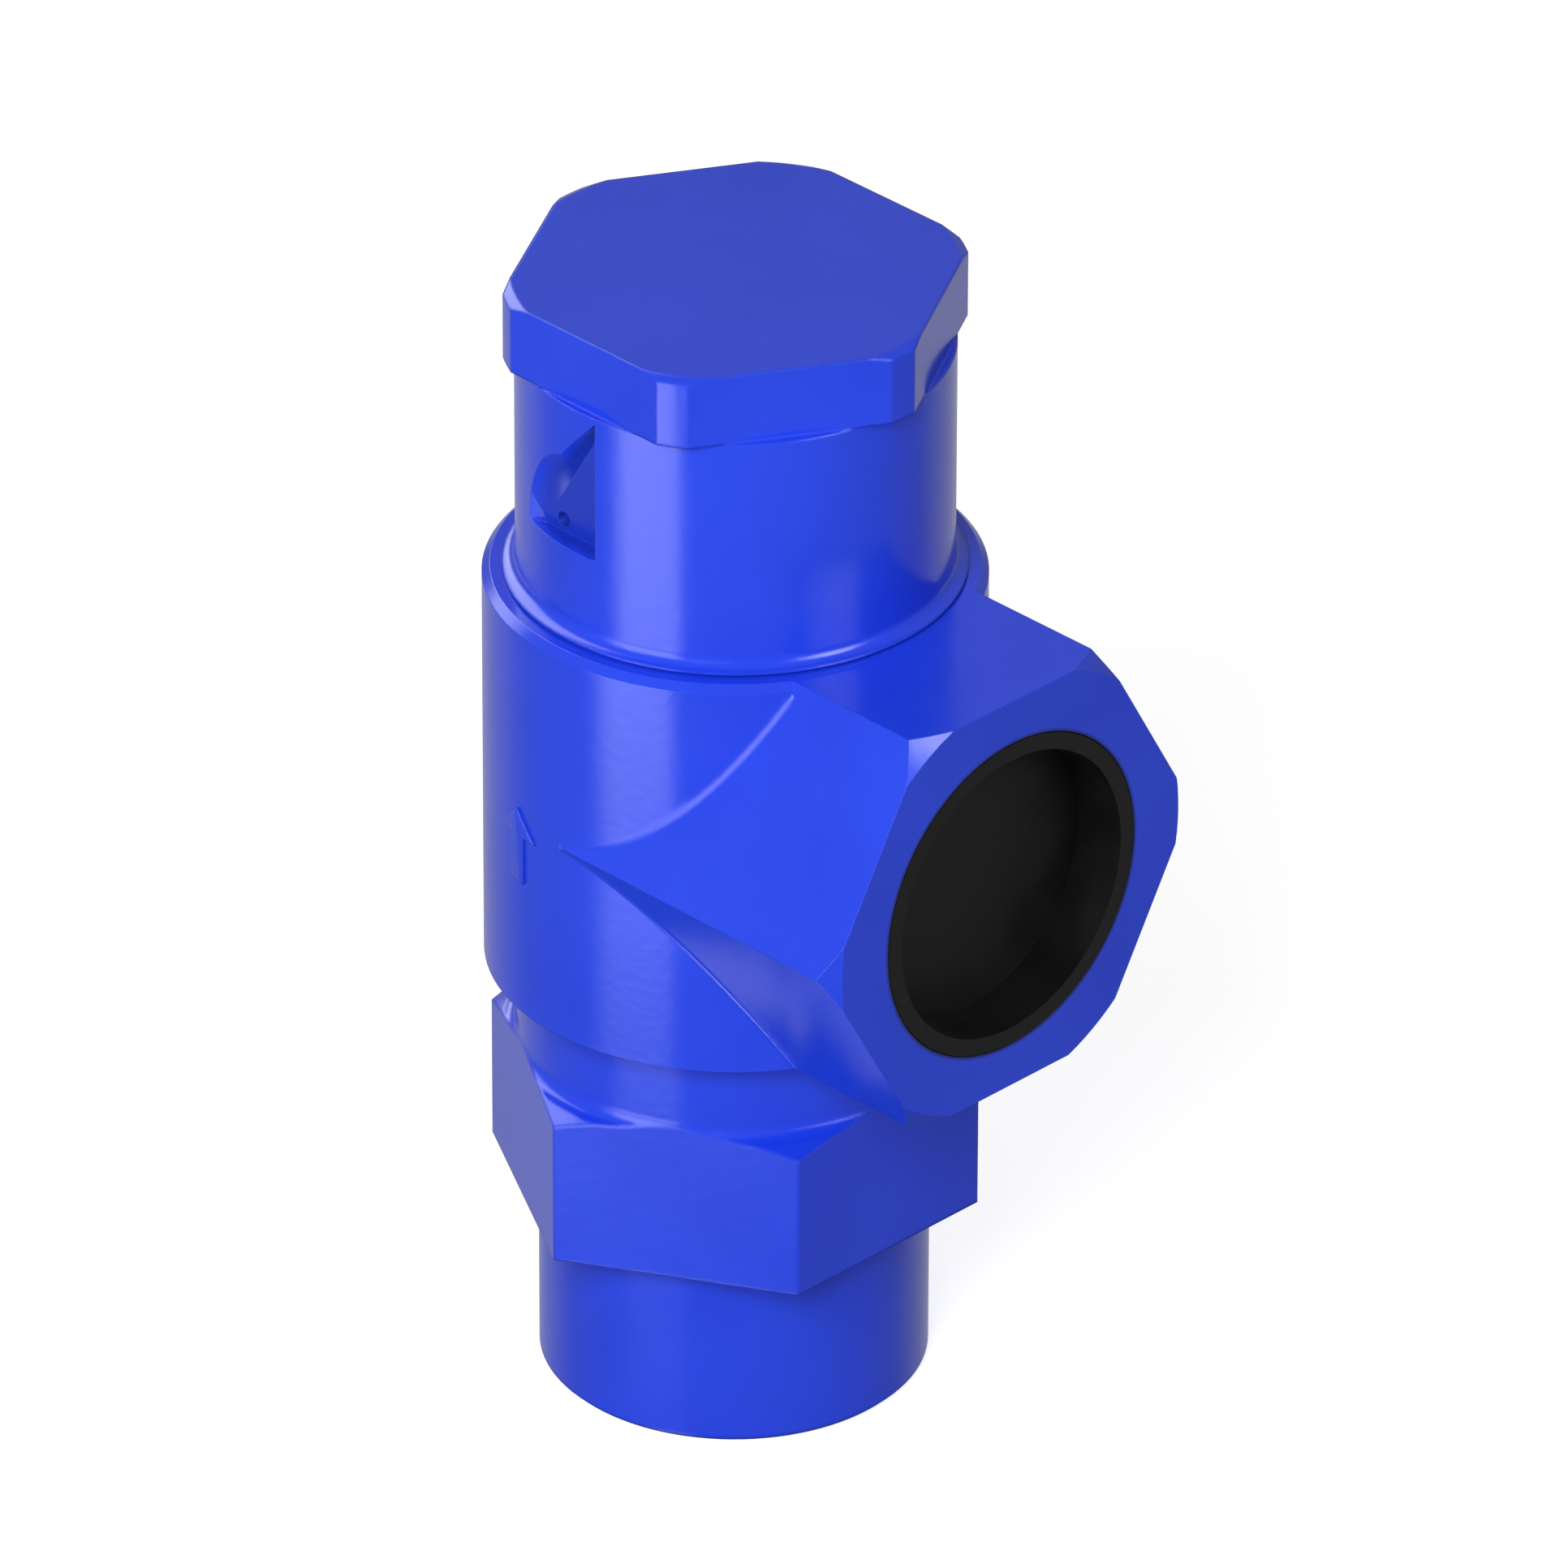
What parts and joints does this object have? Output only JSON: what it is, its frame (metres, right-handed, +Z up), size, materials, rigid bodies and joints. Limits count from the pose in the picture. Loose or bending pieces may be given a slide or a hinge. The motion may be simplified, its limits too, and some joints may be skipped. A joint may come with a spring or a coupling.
{
  "type": "relief valve",
  "caption": "Angle pattern relief valve with a capped spring, a screwed inlet nozzle, a hexagonal side outlet and a moulded outlet plug.",
  "frame": {"origin": "centre of the inlet's end face, on the valve's axis", "axes": "+Z up the valve's axis from the inlet to the cap, +X along the outlet"},
  "size_m": [0.0645, 0.0514, 0.125],
  "materials": {
    "blue_paint": "gloss",
    "black_plastic": "satin",
    "stainless_steel": "machined",
    "spring_steel": "shot peened",
    "bronze": "machined",
    "zinc_plate": "satin",
    "ptfe": "smooth",
    "copper": "soft",
    "gasket_fibre": "pressed sheet"
  },
  "bodies": {
    "shell": {"valve_body": "blue_paint", "inlet_nozzle": "blue_paint", "nozzle_gasket": "copper", "guide_sleeve": "bronze", "spring": "spring_steel"},
    "piston": {"piston": "stainless_steel", "seat_disc": "ptfe", "disc_retainer": "stainless_steel", "disc_screw": "stainless_steel", "lower_spring_plate": "zinc_plate"},
    "upper_plate": {"upper_spring_plate": "zinc_plate", "thrust_ball": "stainless_steel"},
    "gland": {"adjusting_gland": "bronze", "lock_ring": "bronze"},
    "cap_seal": {"cap_gasket": "gasket_fibre"},
    "cap": {"cap": "blue_paint"},
    "outlet_plug": {"outlet_plug": "black_plastic"}
  },
  "joints": [
    {"name": "piston_lift", "type": "slide", "parent": "shell", "child": "piston", "axis": [0, 0, 1], "range_m": [0, 0.0032], "stiffness_N_per_m": 19000, "deforming": ["spring"]},
    {"name": "adjuster_travel", "type": "slide", "parent": "shell", "child": "upper_plate", "axis": [0, 0, 1], "range_m": [-0.0015, 0.003]},
    {"name": "gland_turn", "type": "hinge", "parent": "upper_plate", "child": "gland", "pos_m": [0, 0, 0.1], "axis": [0, 0, 1], "range_deg": [-360, 720]},
    {"name": "cap_rise", "type": "slide", "parent": "shell", "child": "cap_seal", "axis": [0, 0, 1], "range_m": [0, 0.0105]},
    {"name": "cap_turn", "type": "hinge", "parent": "cap_seal", "child": "cap", "pos_m": [0, 0, 0.1], "axis": [0, 0, 1], "range_deg": [0, 2520]},
    {"name": "outlet_plug_pull", "type": "slide", "parent": "shell", "child": "outlet_plug", "axis": [1, 0, 0], "range_m": [0, 0.06]}
  ],
  "couplings": [
    {"joint": "adjuster_travel", "follows": "gland_turn", "m_per_rad": 0.00023873},
    {"joint": "cap_rise", "follows": "cap_turn", "m_per_rad": 0.00023873}
  ]
}
